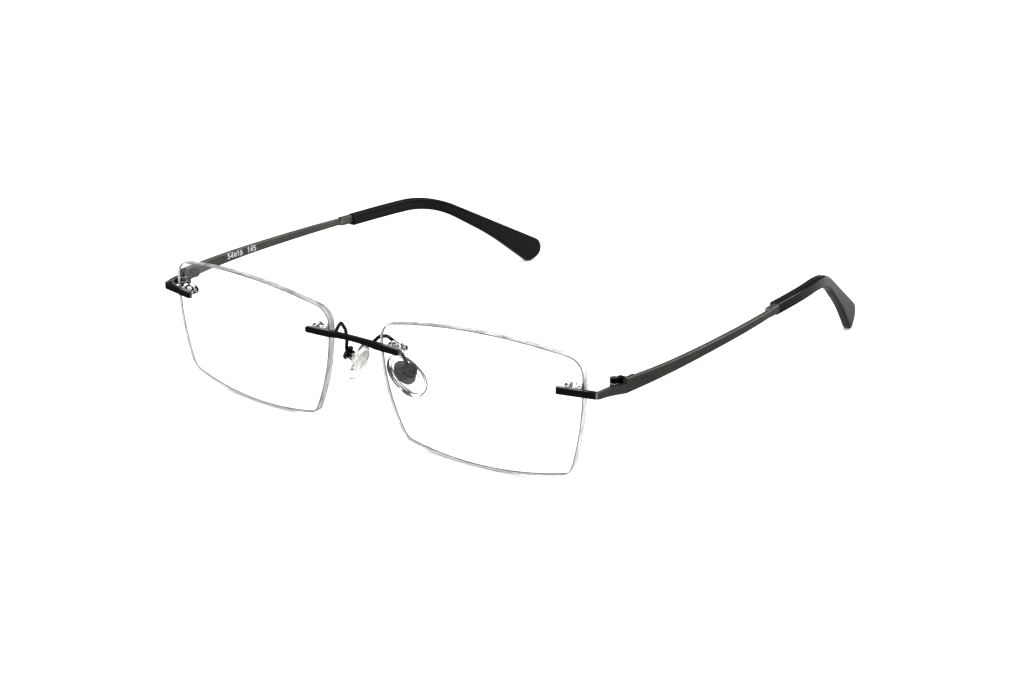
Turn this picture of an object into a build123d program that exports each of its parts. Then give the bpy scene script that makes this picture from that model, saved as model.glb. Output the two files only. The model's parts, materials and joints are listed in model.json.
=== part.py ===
from build123d import *
import os
from math import atan2, cos, degrees, hypot, radians, sin

# Rimless spectacles: two drilled lenses, a bridge bar with nose pads, two endpieces with
# barrel hinges and two temples with slip-on tips.
# Millimetres, +Z up, lenses facing -Y, the wearer's left towards +X, mirror plane X = 0.
# Sizes are written in a working frame whose Y = 0 is the front of the bridge bar.
# place() then moves the origin to the middle of the whole object, on the surface it stands on.

# ---- driving sizes ---------------------------------------------------------------------
OVERALL_DEPTH = 144.4      # bridge front to the rear of the temple tips

# lens
LENS_CENTRE = (34.8, 1.55, 16.01)
LENS_WRAP = 3.6            # degrees, temporal side swept back
LENS_TILT = 2.8            # degrees, lower edge swept back
LENS_RADIUS = 200.0        # front surface
LENS_THICKNESS = 1.9
LENS_BEVEL = 0.22
LENS_CORNERS = [(-20.8, -14.25), (22.95, -12.9), (26.3, 13.9), (-27.0, 12.4)]
LENS_BULGES = [2.45, 1.45, 2.95, 2.0]   # rise of the bottom, temporal, top and nasal arcs
LENS_CORNER_RADII = [3.2, 3.4, 4.2, 4.6]

# post pairs, in the lens plane: across, up
BRIDGE_POSTS = [(-24.5, 7.2), (-21.8, 7.2)]
ENDPIECE_POSTS = [(22.3, 7.1), (25.0, 7.1)]
LENS_HOLE_RADIUS = 0.75
POST_RADIUS = 0.45
POST_REACH = 1.4           # behind the lens
SLEEVE_RADIUS = 1.05
SLEEVE_LENGTH = 1.75
SLEEVE_EDGE = 0.35
SLEEVE_WEB = 1.3           # height of the web between the two barrels

# bridge bar, front view
BRIDGE_HALF = 14.15
BRIDGE_TOP_END = 24.0
BRIDGE_TOP_MIDDLE = 24.35
BRIDGE_BOTTOM_END = 22.5
BRIDGE_BOTTOM_ARM = 22.65
BRIDGE_BOTTOM_MIDDLE = 23.15
BRIDGE_ARM_X = 7.2
BRIDGE_DEPTH = 1.5
BAR_EDGE = 0.3
BAR_CORNER_RADIUS = 0.55

# nose pads
CUP_CENTRE = Vector(9.5, 10.1, 15.5)
PAD_DOWN = Vector(0.53, 0.38, -0.76).normalized()
PAD_INWARD_GUESS = Vector(-0.80, 0.30, -0.50)
PAD_LENGTH = 11.8
PAD_WIDTH = 7.4
PAD_THICKNESS = 2.4
PAD_FRONT_EDGE = 1.3
PAD_BACK_EDGE = 0.7
PAD_DROP = 0.95            # pad centre below the cup centre, along the pad
CUP_RADIUS = 1.8
CUP_THICKNESS = 1.0
CUP_BACK_EDGE = 0.7
CUP_RIM_EDGE = 0.15
EAR_GAP = 1.0
EAR_THICKNESS = 0.35
EAR_WIDTH = 1.5
EAR_REACH = 1.4
EAR_ROUND = 0.45
PIVOT_HEIGHT = 0.85
LUG_THICKNESS = 0.9
LUG_WIDTH = 1.1
PAD_BACK = 1.8             # back of the silicone, from the cup's face
CORE_PLATE = (6.2, 4.6, 0.45)  # length, width, thickness
CORE_DEPTH = 0.5           # of silicone behind the plate
PAD_SCREW_RADIUS = 0.3
PAD_SCREW_HEAD = 0.55
PAD_SCREW_HEAD_HEIGHT = 0.3
PAD_SCREW_SLOT = 0.16
PAD_SCREW_SLOT_DEPTH = 0.12
RUNNING_GAP = 0.04
ARM_RADIUS = 0.42
ARM_ROUTE = [(5.6, 0.9, 23.5), (6.2, 3.0, 24.85), (7.3, 5.2, 24.85), (8.4, 7.8, 22.2), (8.9, 8.7, 19.4)]
ARM_BENDS = [1.6, 1.5, 1.6, 1.6]

# endpiece, plan view of its outer face
ENDPIECE_START = Vector(55.35, 2.7)
ENDPIECE_BEND = Vector(65.5, 4.0)
ENDPIECE_REAR = Vector(67.3, 12.15)
ENDPIECE_BEND_RADIUS = 1.3
ENDPIECE_THICKNESS = 1.05
ENDPIECE_SEAT = 1.3        # times as thick at the lens, where it is cut to the lens face
ENDPIECE_END_ROUND = 0.35
# its front view in X and Z, and behind ENDPIECE_SPLIT its side view in Y and Z
ENDPIECE_SPLIT = 5.2
ENDPIECE_FRONT_LOW = [(55.0, 22.1), (66.0, 22.65), (70.0, 22.65)]
ENDPIECE_FRONT_HIGH = [(70.0, 24.15), (66.0, 24.15), (55.0, 23.7)]
ENDPIECE_SIDE_LOW = [(5.2, 22.65), (8.2, 22.55), (10.6, 22.3), (12.15, 22.15)]
ENDPIECE_SIDE_HIGH = [(12.15, 24.25), (8.5, 24.4), (5.2, 24.15)]

# hinge
HINGE_AXIS = (64.85, 11.0)
KNUCKLE_RADIUS = 1.0
KNUCKLE_BOTTOM = (22.0, 22.95)
KNUCKLE_MIDDLE = (23.2, 24.2)
KNUCKLE_TOP = (24.45, 25.5)
LEAF_THICKNESS = 0.8
LEAF_LENGTH = 5.4
LEAF_STEP = 0.1            # the leaves stand back from the knuckle faces
HINGE_BLOCK_DEPTH = 1.2    # behind the front end of the temple
HINGE_BLOCK_REACH = 1.6    # outwards from the hinge axis
REAR_LEAF_HEIGHTS = (22.7, 25.0)
REAR_LEAF_END = 17.2
REAR_LEAF_ROUND = 0.8
HINGE_SCREW_RADIUS = 0.45
HINGE_HEAD_RADIUS = 0.72
HINGE_HEAD_DEPTH = 0.35
HINGE_HEAD_PROUD = 0.05
HINGE_SHANK_PROUD = 0.1
HINGE_SLOT = 0.22
HINGE_SLOT_DEPTH = 0.15
WASHER_RADIUS = 0.95
WASHER_THICKNESS = 0.2

# temple, from its front end to the tip: plan view (X, Y) of its outer face, side view (Y, Z)
TEMPLE_FRONT = 12.2
TEMPLE_OUTER = [(67.35, 12.2), (69.1, 26.0), (69.55, 44.0), (69.2, 60.0), (68.15, 75.3)]
TEMPLE_THICKNESS = 1.15
TEMPLE_TOP = [(12.2, 25.5), (40.0, 25.65), (75.3, 25.7)]
TEMPLE_BOTTOM = [(12.2, 22.05), (25.0, 22.8), (45.0, 23.4), (75.3, 24.0)]
TEMPLE_EDGE = 0.3
GROOVE_DEPTH = 0.14
GROOVE_WIDTH = 0.3
GROOVE_HEIGHTS = [23.45, 24.5]
GROOVE_SPAN = (15.5, 38.0)
COLLAR_START = 71.3
COLLAR_END = 75.3
COLLAR_HEIGHTS = (23.7, 26.0)
COLLAR_OUTER = (68.54, 68.25)   # X of its outer face at the start and the end
COLLAR_THICKNESS = 1.9
COLLAR_ROUND = 0.45
COLLAR_CHAMFER = 0.3

# temple tip, side view (Y, Z) and plan view (X, Y) of its outer face
TIP_SIDE = [
    (75.3, 26.3), (105.2, 26.35), (149.65, 3.1), (139.9, -0.26), (126.5, 10.4), (106.1, 23.0), (75.3, 23.1),
]
TIP_SIDE_RADII = [38.0, 3.3, 2.0, 100.0, 35.0]
TIP_OUTER = [(68.1, 75.3), (67.1, 92.0), (65.6, 102.0), (63.5, 110.0), (58.4, 129.0), (53.0, 149.0)]
TIP_THICKNESS = 2.5
TIP_EDGE = 0.75
TIP_MOUTH_EDGE = 0.3
CORE_RADIUS = 0.55
CORE_ROUTE = [(67.05, 75.3, 24.6), (65.85, 92.0, 24.75), (63.4, 106.0, 24.3), (58.4, 124.5, 13.9), (56.1, 133.0, 8.4)]
CORE_BENDS = [20.0, 22.0, 20.0]


# ---- helpers ---------------------------------------------------------------------------
def place(shape):
    """Move a shape from the working frame to the part's own frame."""
    return Pos(0, -OVERALL_DEPTH / 2, 0) * shape


def save(name, shape):
    """Write one node."""
    export_step(place(shape), f"parts/{name}.step")


def save_pair(name, shape):
    """Write the left-hand node and its mirror image."""
    save(f"{name}_left", shape)
    save(f"{name}_right", mirror(shape, about=Plane.YZ))


def softened(solid, edges, radius):
    """Round the given edges, or fall back to a smaller radius where they are short."""
    for step in (1.0, 0.7, 0.4):
        try:
            rounded = fillet(edges, radius * step)
            if rounded.is_valid:
                return rounded
        except ValueError:
            continue
    print("left sharp:", radius)
    return solid


def box_between(low, high):
    """A box from its lowest to its highest corner."""
    size = [b - a for a, b in zip(low, high)]
    return Pos(*low) * Box(*size, align=(Align.MIN, Align.MIN, Align.MIN))


def profile_yz(wires, x_low, x_high):
    """Extrude a closed side-view outline, drawn in Y and Z, between two X values."""
    plane = Plane(origin=(x_low, 0, 0), x_dir=(0, 1, 0), z_dir=(1, 0, 0))
    return extrude(plane * make_face(wires), x_high - x_low)


def profile_xy(wires, z_low, z_high):
    """Extrude a closed plan-view outline between two heights."""
    return extrude(Pos(0, 0, z_low) * make_face(wires), z_high - z_low)


def plan_strip(points, inset, outset=0.0):
    """Plan outline of a strip along a curve, from inset inside it to outset outside it."""
    outer = [(x + outset, y) for x, y in points]
    inner = [(x - inset, y) for x, y in reversed(points)]
    return [
        Spline(*outer),
        Line(outer[-1], inner[0]),
        Spline(*inner),
        Line(inner[-1], outer[0]),
    ]


# ---- lens ------------------------------------------------------------------------------
def lens_plane():
    """The lens's own plane: X to the temporal side, Y up, Z out of the front."""
    wrap = radians(LENS_WRAP)
    tilt = radians(LENS_TILT)
    across = (cos(wrap), sin(wrap), 0)
    front = (sin(wrap) * cos(tilt), -cos(wrap) * cos(tilt), -sin(tilt))
    return Plane(origin=LENS_CENTRE, x_dir=across, z_dir=front)


def bulged_side(start, end, rise):
    """An arc from start to end that stands out by rise, outline running anticlockwise."""
    run = Vector(*end) - Vector(*start)
    outward = Vector(run.Y, -run.X).normalized()
    middle = (Vector(*start) + Vector(*end)) * 0.5 + outward * rise
    return ThreePointArc(start, middle, end)


def lens_outline():
    """Four gentle arcs with rounded corners."""
    count = len(LENS_CORNERS)
    sides = [
        bulged_side(LENS_CORNERS[i], LENS_CORNERS[(i + 1) % count], LENS_BULGES[i])
        for i in range(count)
    ]
    face = make_face(sides)
    for corner, radius in zip(LENS_CORNERS, LENS_CORNER_RADII):
        vertex = face.vertices().sort_by_distance((*corner, 0))[0]
        face = fillet(vertex, radius)
    return face


def lens_blank():
    """The lens before drilling, between two concentric spheres, in its own plane."""
    prism = extrude(Pos(0, 0, -8) * lens_outline(), 10)
    centre = Pos(0, 0, -LENS_RADIUS) * Rot(90, 0, 0)
    shell = centre * Sphere(LENS_RADIUS) - centre * Sphere(LENS_RADIUS - LENS_THICKNESS)
    return prism & shell


def sag(across, up):
    """How far the front surface has fallen back at a point of the lens plane."""
    reach = hypot(across, up)
    return LENS_RADIUS - (LENS_RADIUS**2 - reach**2) ** 0.5


def drilled_lens(blank):
    """The lens with four drilled holes and its ground edge broken."""
    lens = softened_lens_edge(blank)
    for across, up in BRIDGE_POSTS + ENDPIECE_POSTS:
        lens -= Pos(across, up, -4) * Cylinder(LENS_HOLE_RADIUS, 12)
    return lens


def softened_lens_edge(blank):
    """Break the sharp rims of the front and back surfaces."""
    rims = blank.edges().filter_by(lambda e: abs(e.length) > 3 * LENS_THICKNESS)
    try:
        return chamfer(rims, LENS_BEVEL)
    except ValueError:
        print("lens rim left sharp")
        return blank


# ---- posts and sleeves -----------------------------------------------------------------
def post_pair(posts):
    """Two posts, in the lens plane, from inside the bar to behind the lens."""
    pair = Part()
    for across, up in posts:
        front = -sag(across, up) + 0.5
        back = -sag(across, up) - LENS_THICKNESS - POST_REACH
        pair += Pos(across, up, back) * Cylinder(
            POST_RADIUS, front - back, align=(Align.CENTER, Align.CENTER, Align.MIN)
        )
    return pair


def sleeve(posts, blank):
    """A clear double-barrel sleeve: two barrels, a web, and a plug in each lens hole."""
    (first, up), (second, _) = posts
    middle = (first + second) / 2
    front = -sag(middle, up) - LENS_THICKNESS / 2
    back = -sag(middle, up) - LENS_THICKNESS - SLEEVE_LENGTH
    barrels = Part()
    for across in (first, second):
        barrel = Pos(across, up, back) * Cylinder(
            SLEEVE_RADIUS, front - back, align=(Align.CENTER, Align.CENTER, Align.MIN)
        )
        rear_rim = barrel.edges().sort_by(Axis.Z)[0]
        barrels += fillet(rear_rim, SLEEVE_EDGE)
    web_low = (first, up - SLEEVE_WEB / 2, back + SLEEVE_EDGE)
    barrels += box_between(web_low, (second, up + SLEEVE_WEB / 2, front))
    body = barrels - blank
    for across in (first, second):
        body += (Pos(across, up, -4) * Cylinder(LENS_HOLE_RADIUS, 12)) & blank
    return body - post_pair(posts)


# ---- bridge ----------------------------------------------------------------------------
def bridge_face():
    """Front-view outline of the bridge bar, in X and Z."""
    end = BRIDGE_HALF
    arm = BRIDGE_ARM_X
    top = ThreePointArc(
        (end, BRIDGE_TOP_END), (0, BRIDGE_TOP_MIDDLE), (-end, BRIDGE_TOP_END)
    )
    left = Line((-end, BRIDGE_TOP_END), (-end, BRIDGE_BOTTOM_END))
    lower_left = Line((-end, BRIDGE_BOTTOM_END), (-arm, BRIDGE_BOTTOM_ARM))
    waist = ThreePointArc(
        (-arm, BRIDGE_BOTTOM_ARM), (0, BRIDGE_BOTTOM_MIDDLE), (arm, BRIDGE_BOTTOM_ARM)
    )
    lower_right = Line((arm, BRIDGE_BOTTOM_ARM), (end, BRIDGE_BOTTOM_END))
    right = Line((end, BRIDGE_BOTTOM_END), (end, BRIDGE_TOP_END))
    face = make_face([top, left, lower_left, waist, lower_right, right])
    corners = [v for v in face.vertices() if abs(abs(v.X) - end) < 0.01]
    return fillet(corners, BAR_CORNER_RADIUS)


def bridge_bar(blank_left, posts_left):
    """The bar that joins the two lenses, seated on their front faces."""
    plane = Plane(origin=(0, 0, 0), x_dir=(1, 0, 0), z_dir=(0, -1, 0))
    bar = extrude(plane * bridge_face(), -BRIDGE_DEPTH)
    front = bar.faces().sort_by(Axis.Y)[0]
    back = bar.faces().sort_by(Axis.Y)[-1]
    bar = softened(bar, front.edges() + back.edges(), BAR_EDGE)
    for blank in (blank_left, mirror(blank_left, about=Plane.YZ)):
        bar -= blank
    return bar + posts_left + mirror(posts_left, about=Plane.YZ)


# ---- nose pads -------------------------------------------------------------------------
def pad_plane():
    """X down the pad, Z towards the nose, origin at the cup's face."""
    inward = PAD_INWARD_GUESS - PAD_DOWN * PAD_INWARD_GUESS.dot(PAD_DOWN)
    return Plane(origin=CUP_CENTRE, x_dir=PAD_DOWN, z_dir=inward.normalized())


def pad_cup():
    """A round cup with two ears that hold the pad's lug."""
    disc = Cylinder(CUP_RADIUS, CUP_THICKNESS, align=(Align.CENTER, Align.CENTER, Align.MAX))
    disc = fillet(disc.edges().sort_by(Axis.Z)[0], CUP_BACK_EDGE)
    cup = fillet(disc.edges().sort_by(Axis.Z)[-1], CUP_RIM_EDGE)
    for side in (-1, 1):
        centre = side * (EAR_GAP + EAR_THICKNESS) / 2
        ear = Pos(0, centre, 0) * Box(
            EAR_WIDTH, EAR_THICKNESS, EAR_REACH, align=(Align.CENTER, Align.CENTER, Align.MIN)
        )
        across = ear.edges().filter_by(Axis.Y).sort_by(Axis.Z)[-2:]
        cup += fillet(across, EAR_ROUND)
    return cup - pad_screw_shank(PAD_SCREW_RADIUS)


def pad_screw_shank(radius):
    """The shank that runs across both ears."""
    length = EAR_GAP + 2 * EAR_THICKNESS
    return Pos(0, 0, PIVOT_HEIGHT) * Rot(90, 0, 0) * Cylinder(radius, length)


def pad_screw():
    """A small slotted screw through the ears and the lug."""
    half = EAR_GAP / 2 + EAR_THICKNESS
    seat = Pos(0, half, PIVOT_HEIGHT) * Rot(-90, 0, 0)
    height = PAD_SCREW_HEAD_HEIGHT
    head = Cylinder(PAD_SCREW_HEAD, height, align=(Align.CENTER, Align.CENTER, Align.MIN))
    head -= Pos(0, 0, height) * Box(3 * PAD_SCREW_HEAD, PAD_SCREW_SLOT, 2 * PAD_SCREW_SLOT_DEPTH)
    return pad_screw_shank(PAD_SCREW_RADIUS) + seat * head


def pad_core():
    """The metal lug and plate that are moulded into the pad."""
    lug = Pos(0, 0, PIVOT_HEIGHT) * Rot(90, 0, 0) * Cylinder(LUG_WIDTH / 2, LUG_THICKNESS)
    lug += Pos(0, 0, PIVOT_HEIGHT) * Box(
        LUG_WIDTH,
        LUG_THICKNESS,
        PAD_BACK + CORE_DEPTH + 0.1 - PIVOT_HEIGHT,
        align=(Align.CENTER, Align.CENTER, Align.MIN),
    )
    length, width, thickness = CORE_PLATE
    plate = extrude(Pos(0, 0, PAD_BACK + CORE_DEPTH) * Ellipse(length / 2, width / 2), thickness)
    bore = Pos(0, 0, PIVOT_HEIGHT) * Rot(90, 0, 0) * Cylinder(PAD_SCREW_RADIUS + RUNNING_GAP, 4)
    return lug + plate - bore


def nose_pad(core):
    """The clear silicone pad, an oval with a domed face, moulded round its core."""
    oval = Pos(PAD_DROP, 0, PAD_BACK) * Ellipse(PAD_LENGTH / 2, PAD_WIDTH / 2)
    pad = extrude(oval, PAD_THICKNESS)
    pad = softened(pad, pad.edges().sort_by(Axis.Z)[-1:], PAD_FRONT_EDGE)
    pad = softened(pad, pad.edges().sort_by(Axis.Z)[:1], PAD_BACK_EDGE)
    return pad - core


def pad_arm(bar, cup, plane):
    """The wire from the back of the bridge bar, up and over to the cup."""
    rim_point = plane.from_local_coords((-CUP_RADIUS * 0.6, 0, -CUP_THICKNESS))
    route = [Vector(*p) for p in ARM_ROUTE] + [rim_point]
    line = FilletPolyline(*route, radius=ARM_BENDS)
    start = Plane(origin=route[0], z_dir=route[1] - route[0])
    wire = sweep(start * Circle(ARM_RADIUS), path=line)
    end = Pos(*rim_point) * Sphere(ARM_RADIUS)
    return wire + end - bar - cup


# ---- endpiece and hinge ----------------------------------------------------------------
def inward_of(direction):
    """The plan direction that points to the inside of the frame, square to direction."""
    return Vector(-direction.Y, direction.X)


def endpiece_band():
    """The bent band, full height, seen in plan."""
    thickness = ENDPIECE_THICKNESS
    front_inward = inward_of((ENDPIECE_BEND - ENDPIECE_START).normalized())
    side_inward = inward_of((ENDPIECE_REAR - ENDPIECE_BEND).normalized())
    spread = thickness / (1 + front_inward.dot(side_inward))
    corner = ENDPIECE_BEND + (front_inward + side_inward) * spread
    back_start = ENDPIECE_START + front_inward * (thickness * ENDPIECE_SEAT)
    back_rear = Vector(ENDPIECE_REAR.X + side_inward.X * thickness, ENDPIECE_REAR.Y)
    outline = [
        FilletPolyline(ENDPIECE_START, ENDPIECE_BEND, ENDPIECE_REAR, radius=ENDPIECE_BEND_RADIUS),
        Line(ENDPIECE_REAR, back_rear),
        FilletPolyline(back_rear, corner, back_start, radius=ENDPIECE_BEND_RADIUS - thickness),
        Line(back_start, ENDPIECE_START),
    ]
    return profile_xy(outline, 20, 28)


def endpiece(blank, posts):
    """The bar on the lens face, bent back to butt against the temple."""
    front_plane = Plane(origin=(0, 0, 0), x_dir=(1, 0, 0), z_dir=(0, -1, 0))
    front_view = make_face(Polyline(*ENDPIECE_FRONT_LOW, *ENDPIECE_FRONT_HIGH, close=True))
    front_part = extrude(front_plane * front_view, -ENDPIECE_SPLIT)
    side_view = [
        Spline(*ENDPIECE_SIDE_LOW),
        Line(ENDPIECE_SIDE_LOW[-1], ENDPIECE_SIDE_HIGH[0]),
        ThreePointArc(*ENDPIECE_SIDE_HIGH),
        Line(ENDPIECE_SIDE_HIGH[-1], ENDPIECE_SIDE_LOW[0]),
    ]
    side_part = profile_yz(side_view, 40, 80)
    full = endpiece_band()
    band = (full & front_part) + (full & side_part)
    lens_end = band.edges().filter_by(Axis.Z).sort_by(Axis.X)[:2]
    band = softened(band, lens_end, ENDPIECE_END_ROUND)
    return band - blank + posts


def knuckle(heights):
    """One barrel of the hinge."""
    low, high = heights
    x, y = HINGE_AXIS
    return Pos(x, y, low) * Cylinder(
        KNUCKLE_RADIUS, high - low, align=(Align.CENTER, Align.CENTER, Align.MIN)
    )


def hinge_bore(radius, low=20.0, high=27.0):
    """A vertical cylinder on the hinge axis."""
    x, y = HINGE_AXIS
    return Pos(x, y, low) * Cylinder(
        radius, high - low, align=(Align.CENTER, Align.CENTER, Align.MIN)
    )


def hinge_front(end):
    """The middle knuckle and its leaf, soldered inside the endpiece."""
    x, y = HINGE_AXIS
    low, high = KNUCKLE_MIDDLE
    side = ENDPIECE_REAR - ENDPIECE_BEND
    slant = degrees(atan2(side.X, side.Y))
    inner = -ENDPIECE_THICKNESS
    leaf = box_between(
        (inner - LEAF_THICKNESS, -LEAF_LENGTH, low + LEAF_STEP),
        (inner / 2, 1, high - LEAF_STEP),
    )
    part = knuckle(KNUCKLE_MIDDLE)
    part += box_between(
        (x, y - KNUCKLE_RADIUS, low), (x + LEAF_THICKNESS + 0.8, y + KNUCKLE_RADIUS, high)
    )
    leaf = Pos(ENDPIECE_REAR.X, ENDPIECE_REAR.Y, 0) * Rot(0, 0, -slant) * leaf
    part += leaf & box_between((x, 0, low), (x + 5, ENDPIECE_REAR.Y - RUNNING_GAP, high))
    return part - end - hinge_bore(HINGE_SCREW_RADIUS + RUNNING_GAP)


def hinge_rear(bar):
    """The top and bottom knuckles on one block, soldered inside the temple."""
    x, y = HINGE_AXIS
    low = KNUCKLE_BOTTOM[0]
    high = KNUCKLE_TOP[1]
    block_end = TEMPLE_FRONT + HINGE_BLOCK_DEPTH
    block_side = x + HINGE_BLOCK_REACH
    block = box_between((x - 0.2, TEMPLE_FRONT, low), (block_side, block_end, high - LEAF_STEP))
    leaf = box_between(
        (block_side - LEAF_THICKNESS, block_end - 0.2, REAR_LEAF_HEIGHTS[0]),
        (block_side + LEAF_THICKNESS, REAR_LEAF_END, REAR_LEAF_HEIGHTS[1]),
    )
    rear_corners = leaf.edges().filter_by(Axis.X).sort_by(Axis.Y)[-2:]
    part = block + softened(leaf, rear_corners, REAR_LEAF_ROUND)
    for bottom, top in (KNUCKLE_BOTTOM, KNUCKLE_TOP):
        part += knuckle((bottom, top))
        part += box_between((x, y, bottom), (x + KNUCKLE_RADIUS, TEMPLE_FRONT, top - LEAF_STEP))
    seat = hinge_bore(HINGE_HEAD_RADIUS, high - HINGE_HEAD_DEPTH, 27)
    return part - bar - hinge_bore(HINGE_SCREW_RADIUS) - seat


def hinge_screw():
    """A slotted screw: head let into the top knuckle, shank down to the bottom one."""
    x, y = HINGE_AXIS
    seat = KNUCKLE_TOP[1] - HINGE_HEAD_DEPTH
    head_top = KNUCKLE_TOP[1] + HINGE_HEAD_PROUD
    screw = hinge_bore(HINGE_SCREW_RADIUS, KNUCKLE_BOTTOM[0] - HINGE_SHANK_PROUD, seat)
    screw += hinge_bore(HINGE_HEAD_RADIUS, seat, head_top)
    slot = Box(3 * HINGE_HEAD_RADIUS, HINGE_SLOT, 2 * HINGE_SLOT_DEPTH)
    return screw - Pos(x, y, head_top) * slot


def hinge_washers():
    """Two thin washers above and below the middle knuckle."""
    low, high = KNUCKLE_MIDDLE
    pair = hinge_bore(WASHER_RADIUS, high, high + WASHER_THICKNESS)
    pair += hinge_bore(WASHER_RADIUS, low - WASHER_THICKNESS, low)
    return pair - hinge_bore(HINGE_SCREW_RADIUS + RUNNING_GAP)


# ---- temple and tip --------------------------------------------------------------------
def temple():
    """A flat bar, flared and bowed outwards, tapering back to a stepped collar."""
    side = [
        ThreePointArc(*TEMPLE_TOP),
        Line(TEMPLE_TOP[-1], TEMPLE_BOTTOM[-1]),
        Spline(*reversed(TEMPLE_BOTTOM)),
        Line(TEMPLE_BOTTOM[0], TEMPLE_TOP[0]),
    ]
    bar = profile_xy(plan_strip(TEMPLE_OUTER, TEMPLE_THICKNESS), 20, 28)
    bar &= profile_yz(side, 60, 75)
    long_edges = bar.edges().filter_by(lambda e: e.length > 30)
    bar = softened(bar, long_edges, TEMPLE_EDGE)
    for height in GROOVE_HEIGHTS:
        bar -= groove(height)
    return bar + collar()


def collar():
    """The stepped block at the rear end, square-cut where the tip begins."""
    start_x, end_x = COLLAR_OUTER
    low, high = COLLAR_HEIGHTS
    length = COLLAR_END - COLLAR_START
    turn = degrees(atan2(start_x - end_x, length))
    block = box_between((-COLLAR_THICKNESS, 0, low), (0, length * 1.2, high))
    block = softened(block, block.edges().filter_by(Axis.Y), COLLAR_ROUND)
    front_rim = block.faces().sort_by(Axis.Y)[0].edges()
    block = chamfer(front_rim, COLLAR_CHAMFER)
    turned = Pos(start_x, COLLAR_START, 0) * Rot(0, 0, turn) * block
    return turned & box_between((60, COLLAR_START - 1, 20), (75, COLLAR_END, 28))


def groove(height):
    """A shallow groove that runs along the outer face from near the front."""
    start, end = GROOVE_SPAN
    half = GROOVE_WIDTH / 2
    skin = profile_xy(plan_strip(TEMPLE_OUTER, GROOVE_DEPTH, 1.0), height - half, height + half)
    return skin & box_between((60, start, 20), (75, end, 28))


def tip_core():
    """The round core wire that runs from the collar into the tip."""
    line = FilletPolyline(*CORE_ROUTE, radius=CORE_BENDS)
    start = Plane(origin=CORE_ROUTE[0], z_dir=(0, 1, 0))
    return sweep(start * Circle(CORE_RADIUS), path=line)


def temple_tip(core):
    """The slip-on tip: straight, bent down behind the ear, and widening to a paddle."""
    side_line = FilletPolyline(*TIP_SIDE, radius=TIP_SIDE_RADII)
    side = [side_line, Line(TIP_SIDE[-1], TIP_SIDE[0])]
    tip = profile_xy(plan_strip(TIP_OUTER, TIP_THICKNESS), -5, 32) & profile_yz(side, 40, 80)
    rear_of_joint = TIP_SIDE[0][0] + 0.01
    rims = tip.edges().filter_by(lambda e: e.center().Y > rear_of_joint)
    tip = softened(tip, rims, TIP_EDGE)
    mouth = tip.faces().sort_by(Axis.Y)[0].edges()
    tip = softened(tip, mouth, TIP_MOUTH_EDGE)
    return tip - core


# ---- build -----------------------------------------------------------------------------
os.makedirs("parts", exist_ok=True)

in_lens = lens_plane()
blank = lens_blank()
blank_placed = in_lens * blank
save_pair("lens", in_lens * drilled_lens(blank))
save_pair("bridge_sleeve", in_lens * sleeve(BRIDGE_POSTS, blank))
save_pair("endpiece_sleeve", in_lens * sleeve(ENDPIECE_POSTS, blank))

bar = bridge_bar(blank_placed, in_lens * post_pair(BRIDGE_POSTS))
save("bridge_bar", bar)

at_pad = pad_plane()
cup = at_pad * pad_cup()
core = pad_core()
save_pair("pad_cup", cup)
save_pair("pad_screw", at_pad * pad_screw())
save_pair("pad_core", at_pad * core)
save_pair("nose_pad", at_pad * nose_pad(core))
save_pair("pad_arm", pad_arm(bar, cup, at_pad))

end = endpiece(blank_placed, in_lens * post_pair(ENDPIECE_POSTS))
temple_bar = temple()
save_pair("endpiece", end)
save_pair("hinge_front", hinge_front(end))
save_pair("hinge_rear", hinge_rear(temple_bar))
save_pair("hinge_screw", hinge_screw())
save_pair("hinge_washers", hinge_washers())

wire = tip_core()
save_pair("temple", temple_bar - wire)
save_pair("tip_core", wire)
save_pair("temple_tip", temple_tip(wire))

pivot = at_pad.from_local_coords((0, 0, PIVOT_HEIGHT))
pivot_axis = at_pad.y_dir
print("pad pivot", tuple(pivot - Vector(0, OVERALL_DEPTH / 2, 0)), "axis", tuple(pivot_axis))
print("hinge axis", HINGE_AXIS[0], HINGE_AXIS[1] - OVERALL_DEPTH / 2)
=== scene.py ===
"""Rimless eyeglasses: lenses, nose pads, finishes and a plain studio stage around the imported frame."""

import json
from math import atan2, ceil, cos, hypot, pi, radians, sin, sqrt, tau

import bpy
from mathutils import Matrix, Vector
from mathutils.geometry import delaunay_2d_cdt


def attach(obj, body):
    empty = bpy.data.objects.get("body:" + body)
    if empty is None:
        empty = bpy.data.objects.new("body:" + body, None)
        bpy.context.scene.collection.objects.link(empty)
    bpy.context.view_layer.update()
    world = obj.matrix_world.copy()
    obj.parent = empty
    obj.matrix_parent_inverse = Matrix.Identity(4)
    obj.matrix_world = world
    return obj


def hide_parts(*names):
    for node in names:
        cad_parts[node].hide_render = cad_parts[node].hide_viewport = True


bl_info = {
    "name": "Rimless Eyeglasses",
    "version": (1, 0, 0),
    "blender": (4, 5, 0),
    "location": "View3D > Sidebar > Eyeglasses",
    "description": "Lenses, nose pads, size marks and finishes of rimless eyeglasses, and a studio stage",
    "category": "Object",
}

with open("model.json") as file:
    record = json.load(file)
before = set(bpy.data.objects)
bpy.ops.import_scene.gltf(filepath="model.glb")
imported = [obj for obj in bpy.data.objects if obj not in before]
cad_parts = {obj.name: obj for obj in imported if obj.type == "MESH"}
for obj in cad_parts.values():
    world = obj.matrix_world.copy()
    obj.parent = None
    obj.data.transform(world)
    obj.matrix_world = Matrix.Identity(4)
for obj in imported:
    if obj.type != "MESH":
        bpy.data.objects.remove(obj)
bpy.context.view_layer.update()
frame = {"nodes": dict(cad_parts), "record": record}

MM = 0.001
SIDES = (("left", 1), ("right", -1))

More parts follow.
